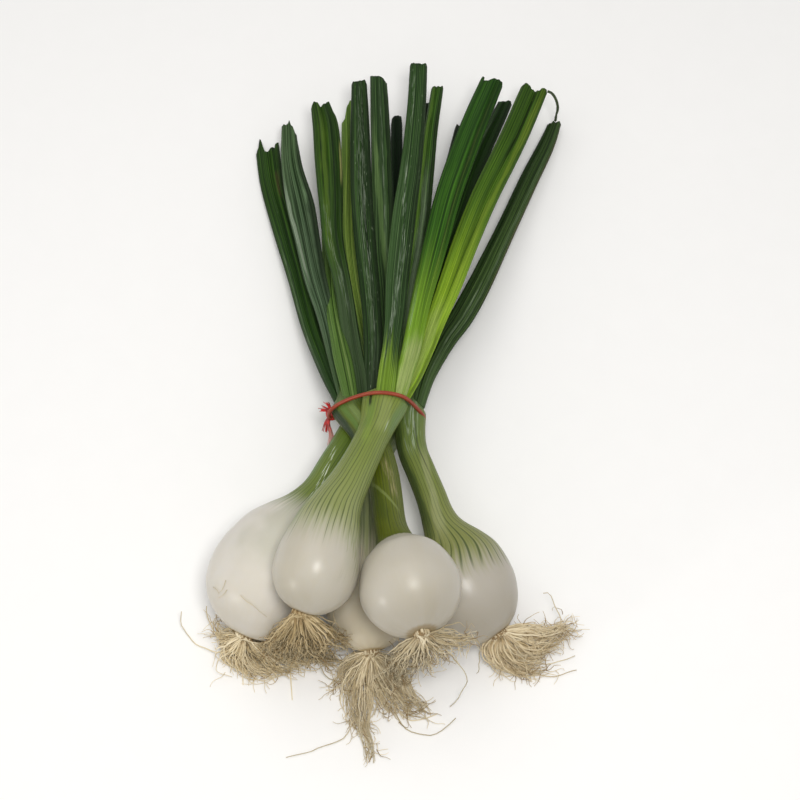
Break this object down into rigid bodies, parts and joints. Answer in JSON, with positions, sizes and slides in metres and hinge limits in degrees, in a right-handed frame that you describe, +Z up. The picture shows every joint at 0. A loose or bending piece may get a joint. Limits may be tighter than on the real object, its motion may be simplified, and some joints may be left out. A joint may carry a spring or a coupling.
{
  "type": "spring onion bunch",
  "caption": "Spring onions with white round bulbs, long cut green leaves and fine roots, tied round the necks into one bunch that lies down",
  "frame": {"origin": "middle of the bunch's footprint on the table, at the bottom", "axes": "+Y from the roots to the leaf tips, +X to the right when seen from above with the leaves pointing away, +Z up from the table"},
  "size_m": [0.2164, 0.4133, 0.1015],
  "materials": {
    "bulb": "smooth waxy white skin turning green up the neck",
    "leaf": "dark green leaf with a waxy bloom",
    "bright_leaf": "yellow green leaf",
    "root": "dry straw coloured fibres",
    "tie": "matt red band"
  },
  "bodies": {
    "root": {"tie": "tie", "upper_left_leaf_tall": "leaf", "upper_left_leaf_wide": "leaf", "upper_left_leaf_bright": "bright_leaf", "upper_left_bulb": "bulb", "upper_right_leaf_outer": "leaf", "upper_right_leaf_grey": "leaf", "upper_right_leaf_short": "bright_leaf", "upper_right_bulb": "bulb", "left_leaf_broad": "leaf", "left_leaf_narrow": "leaf", "left_leaf_speckled": "leaf", "left_bulb": "bulb", "right_leaf_far": "leaf", "right_leaf_dark": "leaf", "right_leaf_back": "leaf", "right_bulb": "bulb", "middle_leaf_striped": "leaf", "middle_leaf_pale": "bright_leaf", "middle_leaf_low": "leaf", "middle_leaf_hidden": "leaf", "middle_bulb": "bulb", "upper_left_roots": "root", "upper_right_roots": "root", "left_roots": "root", "right_roots": "root", "middle_roots": "root"}
  },
  "joints": []
}
